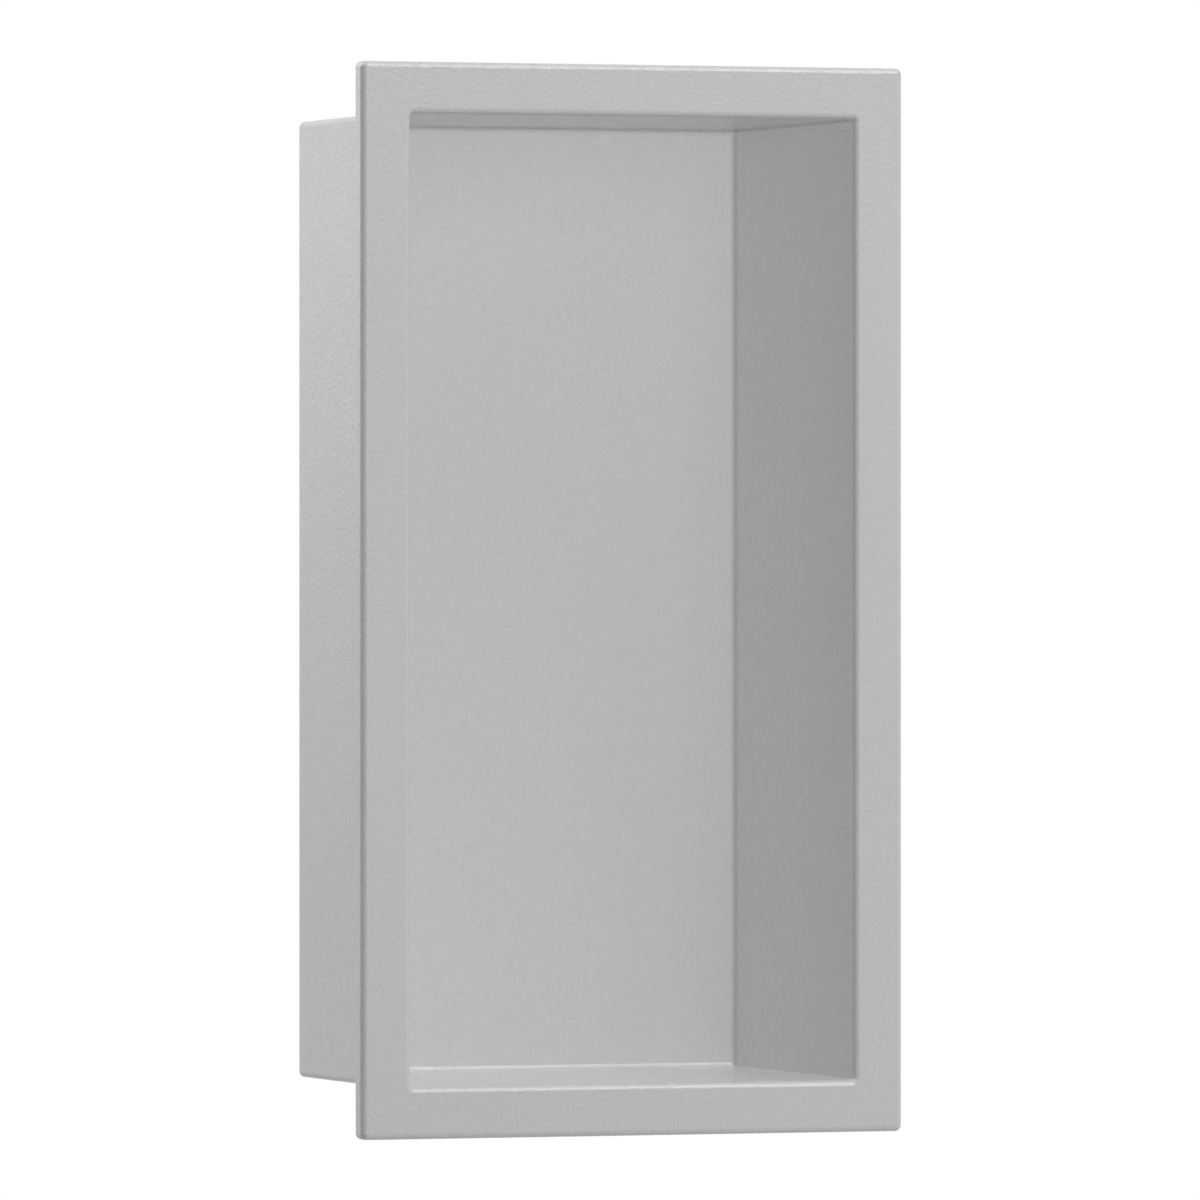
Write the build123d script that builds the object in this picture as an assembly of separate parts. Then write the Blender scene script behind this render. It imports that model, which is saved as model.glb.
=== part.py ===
"""A shower niche insert: a box with a frame of its own, folded from one thickness of sheet.

Millimetres, +Z up. The origin is the middle of the wall plane that the frame's rim beds on.
The niche opens towards -Y, and its box goes into the wall along +Y.
"""

from build123d import *
import os

# Niche: the clear space between its walls, and its depth from the frame's front face
OPENING_WIDTH = 145.5
OPENING_HEIGHT = 298.0
NICHE_DEPTH = 105.0

# Frame: from the niche's walls to its outer edge, and how far it stands off the wall
FRAME_BORDER = 16.0
FRAME_DEPTH = 6.0

# Sheet, and the inside radius of the frame's folds and of the folds along the niche's depth
SHEET = 1.0
FRAME_FOLD = 1.0
CORNER_FOLD = 1.0

# Box: the seam round its back panel is filled round on the inside, and its outside is ground round
BOX_FOLD = 2.0
BOX_EDGE = 2.0

# Worked out from the sizes above
FRAME_WIDTH = OPENING_WIDTH + 2 * FRAME_BORDER
FRAME_HEIGHT = OPENING_HEIGHT + 2 * FRAME_BORDER
FRAME_EDGE = FRAME_FOLD + SHEET
FRONT = -FRAME_DEPTH
NICHE_BACK = FRONT + NICHE_DEPTH
BOX_BACK = NICHE_BACK + SHEET


def block(width, height, front, back):
    """A plain block, centred on the Y axis, from one depth to another."""
    return Pos(0, (front + back) / 2, 0) * Box(width, back - front, height)


def soften(solid, end, radius):
    """Rounds a block's four long edges and the edges of the end face given, all alike."""
    return fillet(solid.edges().filter_by(Axis.Y) + end.edges(), radius)


def front_of(solid):
    return solid.faces().sort_by(Axis.Y)[0]


def back_of(solid):
    return solid.faces().sort_by(Axis.Y)[-1]


def niche_space():
    """The space inside the niche, out through the frame's front face: tight folds, a rounder back seam."""
    space = block(OPENING_WIDTH, OPENING_HEIGHT, FRONT, NICHE_BACK)
    folded = fillet(space.edges().filter_by(Axis.Y), CORNER_FOLD)
    seamed = fillet(back_of(space).edges(), BOX_FOLD)
    return folded & seamed


def box_outside(front):
    """The outside of the box, a sheet's thickness around the niche."""
    box = block(OPENING_WIDTH + 2 * SHEET, OPENING_HEIGHT + 2 * SHEET, front, BOX_BACK)
    return soften(box, back_of(box), BOX_EDGE)


def frame_outside():
    """The frame as a solid slab, its front edge and corners rounded."""
    slab = block(FRAME_WIDTH, FRAME_HEIGHT, FRONT, 0)
    return soften(slab, front_of(slab), FRAME_EDGE)


def frame_hollow():
    """The channel behind the frame's face, between its folded rim and the box."""
    channel_front = FRONT + SHEET
    channel = block(FRAME_WIDTH - 2 * SHEET, FRAME_HEIGHT - 2 * SHEET, channel_front, 0)
    channel = soften(channel, front_of(channel), FRAME_FOLD)
    channel = channel - box_outside(FRONT)
    return fillet(front_of(channel).inner_wires()[0].edges(), FRAME_FOLD)


def niche_body():
    """Frame, lip, walls and back panel as one folded, welded and ground sheet."""
    body = frame_outside() + box_outside(FRONT + FRAME_EDGE)
    body = body - niche_space()
    body = fillet(front_of(body).inner_wires()[0].edges(), FRAME_EDGE)
    return body - frame_hollow()


body = niche_body()
os.makedirs("parts", exist_ok=True)
export_step(body, "parts/niche_body.step")
print("size", body.bounding_box().size, "volume", round(body.volume))
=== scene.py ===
"""Looks of a shower niche insert: folded sheet under a matt, fine-grained powder coat."""

import math

import bpy
import numpy as np
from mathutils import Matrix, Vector


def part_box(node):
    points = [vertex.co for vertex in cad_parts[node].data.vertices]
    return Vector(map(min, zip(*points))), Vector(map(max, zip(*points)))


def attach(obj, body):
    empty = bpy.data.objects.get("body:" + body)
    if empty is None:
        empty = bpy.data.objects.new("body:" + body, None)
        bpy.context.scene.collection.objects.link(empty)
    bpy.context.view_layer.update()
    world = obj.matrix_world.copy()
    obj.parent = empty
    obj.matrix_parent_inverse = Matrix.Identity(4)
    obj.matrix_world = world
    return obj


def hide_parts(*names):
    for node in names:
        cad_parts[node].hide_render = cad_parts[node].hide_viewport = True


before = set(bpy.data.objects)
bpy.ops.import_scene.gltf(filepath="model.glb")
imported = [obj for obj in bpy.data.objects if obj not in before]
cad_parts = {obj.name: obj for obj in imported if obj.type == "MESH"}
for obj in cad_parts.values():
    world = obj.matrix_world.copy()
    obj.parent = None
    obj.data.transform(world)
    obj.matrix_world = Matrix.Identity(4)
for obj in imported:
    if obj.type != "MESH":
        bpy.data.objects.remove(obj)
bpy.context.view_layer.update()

MM = 0.001

# Sheet and folds, in metres; the overall sizes come from the frame
NODE = "niche_body"
LOW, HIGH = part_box(NODE)
SHEET = 1.0 * MM
BORDER = 16.0 * MM
FRAME_FOLD = 1.0 * MM
FRAME_EDGE = FRAME_FOLD + SHEET
CORNER_FOLD = 1.0 * MM
BOX_FOLD = 2.0 * MM
BOX_EDGE = 2.0 * MM
COAT_EDGE = 0.2 * MM
HALF_WIDTH = (HIGH.x - LOW.x) / 2
HALF_HEIGHT = (HIGH.z - LOW.z) / 2
FRONT = LOW.y
BACK = HIGH.y
NICHE_BACK = BACK - SHEET
RIM_END = 0.0

# Which side of a fold the air is on: away from the fold's centre, or towards it
AIR_OUTSIDE = 1
AIR_INSIDE = -1

# How finely the surface is divided, and how near two points are one
FOLD_STEPS = 10
CORNER_STEPS = 10
WALL_STEPS = 12
FACE_STEPS = 4
RIM_STEPS = 1
WIDTH_STEPS = 18
HEIGHT_STEPS = 34
SAME_POINT = 0.001 * MM

# Camera: a long lens, level with the niche and a little to its left, with its turn and rise in degrees
SENSOR_MM = 36.0
LENS_MM = 368.2
CAMERA_TARGET = Vector((6.1, 41.8, -0.1)) * MM
CAMERA_DISTANCE = 3.827
CAMERA_TURN = -20.01
CAMERA_RISE = 0.204

# Powder coat: a grain drawn coarser than the real one so that it shows, slow waves and a drift of tone
GRAIN_SIZE = 1.2 * MM
GRAIN_HEIGHT = 0.17 * MM
GRAIN_DETAIL = 1.0
PEEL_SIZE = 5.0 * MM
PEEL_HEIGHT = 0.004 * MM
PEEL_DETAIL = 0.0
CLOUD_SIZE = 70.0 * MM
CLOUD_SHARE = 0.5
COAT_DARK = "#B4B4B4"
COAT_LIGHT = "#B8B8B8"
COAT_CLOUD = "#B5B5B4"
COAT_ROUGHNESS = 0.39
ROUGHNESS_SPREAD = 0.03
FLAT_LOOK_ROUGHNESS = 0.27
COAT_IOR = 1.58

# Where a change begins and ends: of tone with the noise, of gloss with the waves and with a flat look
TONE_LOW = 0.3
TONE_HIGH = 0.7
PEEL_LOW = 0.25
PEEL_HIGH = 0.75
FLAT_LOOK_START = 0.8
FLAT_LOOK_END = 0.95

# Floor: well below the niche, because a wall holds the niche up
FLOOR_DROP = 0.25
FLOOR_HEIGHT = LOW.z - FLOOR_DROP
FLOOR_HALF_SIZE = 2.5
FLOOR_COLOUR = "#B4B4B4"

# White behind the niche, and the floor's top-up to it: under the niche, and where it rises to full
SEEN_WHITE = "#FFFFFF"
TOP_UP_UNDER = 0.5
TOP_UP_START = 0.3
TOP_UP_END = 0.9 * FLOOR_HALF_SIZE


def linear(hex_colour):
    """An sRGB hex colour as linear red, green and blue, with an alpha of 1."""
    codes = np.array([int(hex_colour[i:i + 2], 16) for i in (1, 3, 5)]) / 255
    values = np.where(codes <= 0.04045, codes / 12.92, ((codes + 0.055) / 1.055) ** 2.4)
    return (*values.tolist(), 1.0)


def fold(centre_inset, centre_depth, radius, start, stop, air_side, corner_axis):
    """Stations round one fold of the section: a quarter circle about the fold's centre.

    The angle goes from start to stop; its cosine runs along the inset and its sine along the depth.
    The normal points away from the centre, or towards it where the air is on the centre's side.
    The corner's radius at a station is what is left of the inset up to the corner's axis.
    """
    angle = np.linspace(start, stop, FOLD_STEPS + 1)
    across = np.cos(angle)
    along = np.sin(angle)
    inset = centre_inset + radius * across
    depth = centre_depth + radius * along
    return np.stack([inset, depth, corner_axis - inset, air_side * across, air_side * along], axis=1)


def flat(steps, before, after):
    """Stations on a flat stretch between two folds, evenly spaced, without its two ends."""
    share = np.linspace(0, 1, steps + 1)[1:-1, None]
    return before[-1] * (1 - share) + after[0] * share


def mitred(stations):
    """The stations of the back seam, with its corners mitred.

    The folds along the depth meet the seam's quarter circles there. The corner's radius falls off
    with the way into the seam until the two circles meet, and then the coat's small rounding is left,
    which is gone at the panel.
    """
    way_in = stations[:, 0] - BORDER
    folded = CORNER_FOLD - way_in / (1 - math.sqrt(0.5))
    coated = COAT_EDGE * (1 - way_in / BOX_FOLD)
    radius = np.maximum(folded, coated)
    return np.concatenate([stations[:, :2], radius[:, None], stations[:, 3:]], axis=1)


def section():
    """The sheet's section: from the niche's back panel, over the frame, to the box's back panel.

    Each station gives the inset from the frame's outer edge, the depth, the corner's radius there,
    and the surface normal's parts along the inset and along the depth.
    """
    quarter = math.pi / 2
    half = math.pi
    seam_axis = BORDER + BOX_FOLD
    niche_axis = BORDER + CORNER_FOLD
    box_axis = BORDER - SHEET + BOX_EDGE
    fold_line = FRONT + FRAME_EDGE
    lip_line = BORDER - FRAME_EDGE
    coat_line = RIM_END - COAT_EDGE
    seam = fold(seam_axis, NICHE_BACK - BOX_FOLD, BOX_FOLD, quarter, half, AIR_INSIDE, seam_axis)
    niche_fold = mitred(seam)
    lip = fold(lip_line, fold_line, FRAME_EDGE, 0, -quarter, AIR_OUTSIDE, niche_axis)
    frame_edge = fold(FRAME_EDGE, fold_line, FRAME_EDGE, -quarter, -half, AIR_OUTSIDE, FRAME_EDGE)
    rim_outside = fold(COAT_EDGE, coat_line, COAT_EDGE, half, quarter, AIR_OUTSIDE, FRAME_EDGE)
    rim_inside = fold(SHEET - COAT_EDGE, coat_line, COAT_EDGE, quarter, 0, AIR_OUTSIDE, FRAME_EDGE)
    channel_edge = fold(FRAME_EDGE, fold_line, FRAME_FOLD, -half, -quarter, AIR_INSIDE, FRAME_EDGE)
    channel_lip = fold(lip_line, fold_line, FRAME_FOLD, -quarter, 0, AIR_INSIDE, box_axis)
    box_fold = fold(box_axis, BACK - BOX_EDGE, BOX_EDGE, half, quarter, AIR_OUTSIDE, box_axis)
    folds = [niche_fold, lip, frame_edge, rim_outside, rim_inside, channel_edge, channel_lip, box_fold]
    steps = [WALL_STEPS, FACE_STEPS, FACE_STEPS, RIM_STEPS, FACE_STEPS, FACE_STEPS, WALL_STEPS]
    stretches = [flat(count, *pair) for count, pair in zip(steps, zip(folds, folds[1:]))]
    return np.concatenate([folds[0]] + [part for pair in zip(stretches, folds[1:]) for part in pair])


def way_round():
    """Once round the niche: at each point, the signs of its corner, and the way out there.

    In a corner the way out turns through a quarter circle. Along a side it stays as it is, and the
    signs slide to those of the next corner.
    """
    turn = np.linspace(0, math.pi / 2, CORNER_STEPS + 1)
    signs = np.array([(1, 1), (-1, 1), (-1, -1), (1, -1)])
    corners = []
    outs = []
    for index, count in enumerate((WIDTH_STEPS, HEIGHT_STEPS, WIDTH_STEPS, HEIGHT_STEPS)):
        angle = turn + index * math.pi / 2
        share = np.linspace(0, 1, count + 1)[1:-1, None]
        corner = signs[index]
        following = signs[(index + 1) % 4]
        way = np.stack([np.cos(angle), np.sin(angle)], axis=1)
        corners += [np.tile(corner, (len(angle), 1)), corner * (1 - share) + following * share]
        outs += [way, np.tile(way[-1], (len(share), 1))]
    return np.concatenate(corners), np.concatenate(outs)


def folded_sheet():
    """The section carried round a rectangle with round corners, as grids of points and of normals.

    A station with inset i, depth y and corner radius r gives, at each point of the way round,
    (half size - i - r) times the corner's signs plus r times the way out, at depth y.
    Its normal is the part along the depth plus the part along the inset, turned to the way out.
    """
    stations = section()
    corners, outs = way_round()
    inset, depth, radius, across, along = (stations[:, k, None] for k in range(5))
    x = (HALF_WIDTH - inset - radius) * corners[:, 0] + radius * outs[:, 0]
    z = (HALF_HEIGHT - inset - radius) * corners[:, 1] + radius * outs[:, 1]
    points = np.stack(np.broadcast_arrays(x, depth, z), axis=-1)
    normals = np.stack(np.broadcast_arrays(-across * outs[:, 0], along, -across * outs[:, 1]), axis=-1)
    return points, normals


def back_panel(ring):
    """A flat panel that fills one end of the folded sheet: a plain grid over that end's rectangle."""
    half_x = np.abs(ring[:, 0]).max()
    half_z = np.abs(ring[:, 2]).max()
    across = np.linspace(-half_x, half_x, WIDTH_STEPS + 1)[:, None]
    up = np.linspace(-half_z, half_z, HEIGHT_STEPS + 1)[None, :]
    return np.stack(np.broadcast_arrays(across, ring[0, 1], up), axis=-1)


def grid_faces(index):
    """The four-cornered faces of a grid of point numbers."""
    corners = [index[:-1, :-1], index[1:, :-1], index[1:, 1:], index[:-1, 1:]]
    return np.stack(corners, axis=-1).reshape(-1, 4)


def joined_mesh(name, points, normals, faces):
    """A mesh in which points at one spot are one, without the faces that this leaves with two corners."""
    spots = np.round(points / SAME_POINT).astype(np.int64)
    _, first, same = np.unique(spots, axis=0, return_index=True, return_inverse=True)
    faces = same.ravel()[faces]
    distinct = faces != np.roll(faces, 1, axis=1)
    whole = distinct.sum(axis=1) >= 3
    faces = faces[whole]
    distinct = distinct[whole]
    sizes = distinct.sum(axis=1)

    mesh = bpy.data.meshes.new(name)
    mesh.vertices.add(len(first))
    mesh.vertices.foreach_set("co", points[first].astype(np.float32).ravel())
    mesh.loops.add(int(sizes.sum()))
    mesh.loops.foreach_set("vertex_index", faces[distinct].astype(np.int32))
    mesh.polygons.add(len(sizes))
    mesh.polygons.foreach_set("loop_start", (np.cumsum(sizes) - sizes).astype(np.int32))
    mesh.update(calc_edges=True)
    mesh.polygons.foreach_set("use_smooth", np.ones(len(sizes), dtype=bool))
    mesh.normals_split_custom_set_from_vertices(normals[first].astype(np.float32))
    return mesh


def niche_mesh(name):
    """One closed mesh: the folded sheet, joined round, and the two back panels at its ends."""
    sheet, sheet_normals = folded_sheet()
    inner = back_panel(sheet[0])
    outer = back_panel(sheet[-1])
    to_room = np.broadcast_to((0.0, -1.0, 0.0), inner.shape)
    points = np.concatenate([part.reshape(-1, 3) for part in (sheet, inner, outer)])
    normals = np.concatenate([part.reshape(-1, 3) for part in (sheet_normals, to_room, -to_room)])

    number = np.arange(len(points))
    sheet_end = sheet.shape[0] * sheet.shape[1]
    inner_end = sheet_end + inner.shape[0] * inner.shape[1]
    sheet_index = number[:sheet_end].reshape(sheet.shape[:2])
    sheet_index = np.concatenate([sheet_index, sheet_index[:, :1]], axis=1)
    inner_index = number[sheet_end:inner_end].reshape(inner.shape[:2])
    outer_index = number[inner_end:].reshape(outer.shape[:2])
    outer_faces = grid_faces(outer_index)[:, ::-1]
    faces = np.concatenate([grid_faces(sheet_index), grid_faces(inner_index), outer_faces])
    return joined_mesh(name, points, normals, faces)


def add_node(tree, kind, settings=None, inputs=None):
    """Adds a node, sets its properties, and fills or links its sockets."""
    node = tree.nodes.new(kind)
    for key, value in (settings or {}).items():
        setattr(node, key, value)
    for key, value in (inputs or {}).items():
        if isinstance(value, bpy.types.NodeSocket):
            tree.links.new(value, node.inputs[key])
        else:
            node.inputs[key].default_value = value
    return node


def powder_coat():
    """Polyester powder sprayed on sheet steel and baked, in a plain concrete grey.

    The powder flows together but never quite levels, which leaves a fine, even grain. It gives the eye
    a matt face with a faint speckle, plainest where light glances along it, and a soft sheen on the
    folds; at a very flat look the grain closes up and the face mirrors what stands behind it.
    """
    material = bpy.data.materials.new("concrete_grey_powder_coat")
    material.use_nodes = True
    tree = material.node_tree
    place = add_node(tree, "ShaderNodeTexCoord").outputs["Object"]
    grain = add_node(tree, "ShaderNodeTexNoise", None,
                     {"Vector": place, "Scale": 1 / GRAIN_SIZE, "Detail": GRAIN_DETAIL})
    peel = add_node(tree, "ShaderNodeTexNoise", None,
                    {"Vector": place, "Scale": 1 / PEEL_SIZE, "Detail": PEEL_DETAIL})
    cloud = add_node(tree, "ShaderNodeTexNoise", None,
                     {"Vector": place, "Scale": 1 / CLOUD_SIZE})

    speckle = add_node(tree, "ShaderNodeMapRange", None,
                       {"Value": grain.outputs["Fac"], "From Min": TONE_LOW, "From Max": TONE_HIGH})
    pigment = add_node(tree, "ShaderNodeMix", {"data_type": "RGBA"},
                       {"Factor": speckle.outputs["Result"],
                        "A": linear(COAT_DARK), "B": linear(COAT_LIGHT)})
    drift = add_node(tree, "ShaderNodeMapRange", None,
                     {"Value": cloud.outputs["Fac"], "From Min": TONE_LOW, "From Max": TONE_HIGH,
                      "To Max": CLOUD_SHARE})
    colour = add_node(tree, "ShaderNodeMix", {"data_type": "RGBA"},
                      {"Factor": drift.outputs["Result"],
                       "A": pigment.outputs["Result"], "B": linear(COAT_CLOUD)})

    uneven = add_node(tree, "ShaderNodeMapRange", None,
                      {"Value": peel.outputs["Fac"], "From Min": PEEL_LOW, "From Max": PEEL_HIGH,
                       "To Min": COAT_ROUGHNESS - ROUGHNESS_SPREAD,
                       "To Max": COAT_ROUGHNESS + ROUGHNESS_SPREAD})
    look = add_node(tree, "ShaderNodeLayerWeight")
    sheen = add_node(tree, "ShaderNodeMapRange", None,
                     {"Value": look.outputs["Facing"],
                      "From Min": FLAT_LOOK_START, "From Max": FLAT_LOOK_END,
                      "To Min": uneven.outputs["Result"], "To Max": FLAT_LOOK_ROUGHNESS})

    waves = add_node(tree, "ShaderNodeBump", None,
                     {"Height": peel.outputs["Fac"], "Distance": PEEL_HEIGHT})
    relief = add_node(tree, "ShaderNodeBump", None,
                      {"Height": grain.outputs["Fac"], "Distance": GRAIN_HEIGHT,
                       "Normal": waves.outputs["Normal"]})

    shader = tree.nodes["Principled BSDF"]
    shader.inputs["IOR"].default_value = COAT_IOR
    tree.links.new(colour.outputs["Result"], shader.inputs["Base Color"])
    tree.links.new(sheen.outputs["Result"], shader.inputs["Roughness"])
    tree.links.new(relief.outputs["Normal"], shader.inputs["Normal"])
    return material


def make_niche():
    """The visible niche, in place of the plain solid."""
    niche = bpy.data.objects.new("coated_niche", niche_mesh("coated_niche"))
    bpy.context.scene.collection.objects.link(niche)
    niche.data.materials.append(powder_coat())
    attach(niche, "root")
    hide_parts(NODE)


def seen_ray(tree):
    """1 for rays from the camera and for rays that were reflected or let through, 0 for all others."""
    ray = add_node(tree, "ShaderNodeLightPath")
    direct = add_node(tree, "ShaderNodeMath", {"operation": "MAXIMUM"},
                      {0: ray.outputs["Is Camera Ray"], 1: ray.outputs["Is Glossy Ray"]})
    seen = add_node(tree, "ShaderNodeMath", {"operation": "MAXIMUM"},
                    {0: direct.outputs["Value"], 1: ray.outputs["Is Transmission Ray"]})
    return seen.outputs["Value"]


def studio_floor():
    """Pale matt floor that takes a shadow, topped up towards white where it is seen, fully at its edge."""
    material = bpy.data.materials.new("pale_floor")
    material.use_nodes = True
    tree = material.node_tree
    shader = tree.nodes["Principled BSDF"]
    shader.inputs["Base Color"].default_value = linear(FLOOR_COLOUR)
    shader.inputs["Roughness"].default_value = 1.0
    shader.inputs["Specular IOR Level"].default_value = 0.0
    shader.inputs["Emission Color"].default_value = linear(SEEN_WHITE)
    place = add_node(tree, "ShaderNodeTexCoord")
    reach = add_node(tree, "ShaderNodeVectorMath", {"operation": "LENGTH"}, {0: place.outputs["Object"]})
    top_up = add_node(tree, "ShaderNodeMapRange", {"interpolation_type": "SMOOTHSTEP"},
                      {"Value": reach.outputs["Value"], "From Min": TOP_UP_START, "From Max": TOP_UP_END,
                       "To Min": TOP_UP_UNDER})
    strength = add_node(tree, "ShaderNodeMath", {"operation": "MULTIPLY"},
                        {0: top_up.outputs["Result"], 1: seen_ray(tree)})
    tree.links.new(strength.outputs["Value"], shader.inputs["Emission Strength"])
    return material


def make_floor():
    """A square sheet of floor, flat and centred under the niche."""
    mesh = bpy.data.meshes.new("floor")
    half = FLOOR_HALF_SIZE
    corners = [(-half, -half, 0), (half, -half, 0), (half, half, 0), (-half, half, 0)]
    mesh.from_pydata(corners, [], [(0, 1, 2, 3)])
    floor = bpy.data.objects.new("floor", mesh)
    bpy.context.scene.collection.objects.link(floor)
    floor.location.z = FLOOR_HEIGHT
    mesh.materials.append(studio_floor())


def make_world():
    """White where it is seen, without lighting matt surfaces."""
    world = bpy.data.worlds.new("studio")
    bpy.context.scene.world = world
    world.use_nodes = True
    tree = world.node_tree
    background = tree.nodes["Background"]
    background.inputs["Color"].default_value = linear(SEEN_WHITE)
    tree.links.new(seen_ray(tree), background.inputs["Strength"])


def aim(thing, turn, rise, distance):
    """Puts a lamp or the camera in place and faces it to the niche.

    The turn is in degrees to the right of the front, the rise in degrees up, the distance in metres.
    """
    turn = math.radians(turn)
    rise = math.radians(rise)
    away = Vector((math.sin(turn) * math.cos(rise), -math.cos(turn) * math.cos(rise), math.sin(rise)))
    thing.location = CAMERA_TARGET + away * distance
    thing.rotation_euler = (-away).to_track_quat("-Z", "Y").to_euler()


def make_camera():
    """The camera that takes the main picture."""
    camera = bpy.data.objects.new("camera", bpy.data.cameras.new("camera"))
    bpy.context.scene.collection.objects.link(camera)
    camera.data.sensor_width = SENSOR_MM
    camera.data.lens = LENS_MM
    aim(camera, CAMERA_TURN, CAMERA_RISE, CAMERA_DISTANCE)
    bpy.context.scene.camera = camera


def make_lamp(name, turn, rise, distance, size, watts, shadow):
    """A square soft box; one that throws no shadow lights surfaces past whatever stands in between."""
    lamp = bpy.data.objects.new(name, bpy.data.lights.new(name, "AREA"))
    bpy.context.scene.collection.objects.link(lamp)
    lamp.data.size = size
    lamp.data.energy = watts
    lamp.data.use_shadow = shadow
    lamp.data.cycles.use_multiple_importance_sampling = shadow
    lamp.visible_camera = False
    aim(lamp, turn, rise, distance)


make_niche()
make_floor()
make_world()
make_camera()

# Lamps: the key and the fills throw no shadow, and low_fill stands for light that comes up from below
make_lamp("key", turn=30, rise=36, distance=2.2, size=0.6, watts=25.2, shadow=False)
make_lamp("high_left_fill", turn=-90, rise=60, distance=2.2, size=2.0, watts=23.0, shadow=False)
make_lamp("high_right_soft_box", turn=40, rise=60, distance=4.4, size=2.0, watts=45.8, shadow=True)
make_lamp("left_soft_box", turn=-40, rise=35, distance=4.4, size=2.0, watts=6.2, shadow=True)
make_lamp("front_soft_box", turn=0, rise=10, distance=2.2, size=1.0, watts=6.8, shadow=True)
make_lamp("low_fill", turn=60, rise=-40, distance=2.4, size=1.6, watts=17.1, shadow=False)
make_lamp("rear_fill", turn=-150, rise=0, distance=4.4, size=4.0, watts=13.5, shadow=False)
make_lamp("high_rim", turn=-130, rise=40, distance=1.2, size=0.5, watts=6.0, shadow=True)
make_lamp("low_rim", turn=-150, rise=15, distance=1.2, size=0.5, watts=0.9, shadow=True)
bpy.context.scene.view_settings.view_transform = "Standard"
